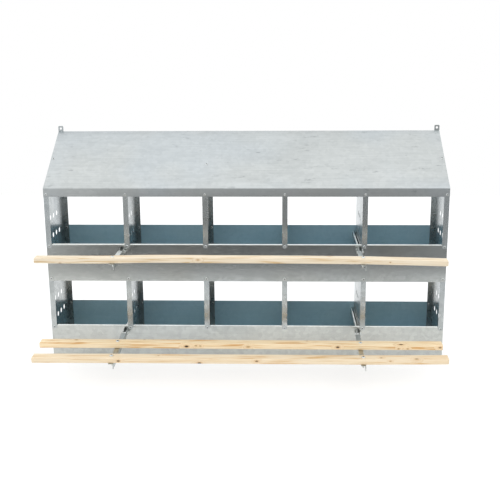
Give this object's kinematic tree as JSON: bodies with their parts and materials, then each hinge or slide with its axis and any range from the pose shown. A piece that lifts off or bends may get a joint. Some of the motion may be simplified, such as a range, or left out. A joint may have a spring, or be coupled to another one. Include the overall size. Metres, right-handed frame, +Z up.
{
  "type": "nesting box",
  "caption": "Two-row poultry nesting box folded from galvanised sheet, with a pitched roof, an open back, vented dividers and fold-up pine perches on angle arms.",
  "frame": {"origin": "centre of the floor's underside, half way along the row of nests and half way through its depth", "axes": "+X along the row of nests to the right of someone facing the entrances, +Y from the entrances to the back, +Z up"},
  "size_m": [1.521, 0.5836, 0.892],
  "materials": {
    "galvanised_steel": "hot-dip galvanised sheet with a fine spangle, satin",
    "zinc_plated_fasteners": "bright zinc plate",
    "pine": "planed, untreated, with small knots"
  },
  "bodies": {
    "cabinet": {"roof_panel": "galvanised_steel", "roof_screw_1": "zinc_plated_fasteners", "roof_screw_2": "zinc_plated_fasteners", "roof_screw_3": "zinc_plated_fasteners", "roof_screw_4": "zinc_plated_fasteners", "roof_screw_5": "zinc_plated_fasteners", "roof_screw_6": "zinc_plated_fasteners", "lower_left_end_wall": "galvanised_steel", "lower_divider_1": "galvanised_steel", "lower_divider_2": "galvanised_steel", "lower_divider_3": "galvanised_steel", "lower_divider_4": "galvanised_steel", "lower_right_end_wall": "galvanised_steel", "lower_front_panel": "galvanised_steel", "lower_nest_floor": "galvanised_steel", "lower_back_strip": "galvanised_steel", "lower_left_rail": "galvanised_steel", "lower_left_hinge_bolt": "zinc_plated_fasteners", "lower_left_hinge_nut": "zinc_plated_fasteners", "lower_right_rail": "galvanised_steel", "lower_right_hinge_bolt": "zinc_plated_fasteners", "lower_right_hinge_nut": "zinc_plated_fasteners", "upper_left_end_wall": "galvanised_steel", "upper_divider_1": "galvanised_steel", "upper_divider_2": "galvanised_steel", "upper_divider_3": "galvanised_steel", "upper_divider_4": "galvanised_steel", "upper_right_end_wall": "galvanised_steel", "upper_front_panel": "galvanised_steel", "upper_nest_floor": "galvanised_steel", "upper_back_strip": "galvanised_steel", "upper_left_rail": "galvanised_steel", "upper_left_hinge_bolt": "zinc_plated_fasteners", "upper_left_hinge_nut": "zinc_plated_fasteners", "upper_right_rail": "galvanised_steel", "upper_right_hinge_bolt": "zinc_plated_fasteners", "upper_right_hinge_nut": "zinc_plated_fasteners"},
    "upper_perch_frame": {"upper_left_arm": "galvanised_steel", "upper_right_arm": "galvanised_steel", "upper_perch": "pine", "upper_perch_left_bolt": "zinc_plated_fasteners", "upper_perch_left_nut": "zinc_plated_fasteners", "upper_perch_right_bolt": "zinc_plated_fasteners", "upper_perch_right_nut": "zinc_plated_fasteners"},
    "lower_perch_frame": {"lower_left_arm": "galvanised_steel", "lower_right_arm": "galvanised_steel", "inner_lower_perch": "pine", "inner_lower_perch_left_bolt": "zinc_plated_fasteners", "inner_lower_perch_left_nut": "zinc_plated_fasteners", "inner_lower_perch_right_bolt": "zinc_plated_fasteners", "inner_lower_perch_right_nut": "zinc_plated_fasteners", "outer_lower_perch": "pine", "outer_lower_perch_left_bolt": "zinc_plated_fasteners", "outer_lower_perch_left_nut": "zinc_plated_fasteners", "outer_lower_perch_right_bolt": "zinc_plated_fasteners", "outer_lower_perch_right_nut": "zinc_plated_fasteners"}
  },
  "joints": [
    {"name": "upper_perch_fold", "type": "hinge", "parent": "cabinet", "child": "upper_perch_frame", "pos_m": [0, -0.154, 0.446], "axis": [-1, 0, 0], "range_deg": [0, 85]},
    {"name": "lower_perch_fold", "type": "hinge", "parent": "cabinet", "child": "lower_perch_frame", "pos_m": [0, -0.154, 0.121], "axis": [-1, 0, 0], "range_deg": [0, 85]}
  ]
}
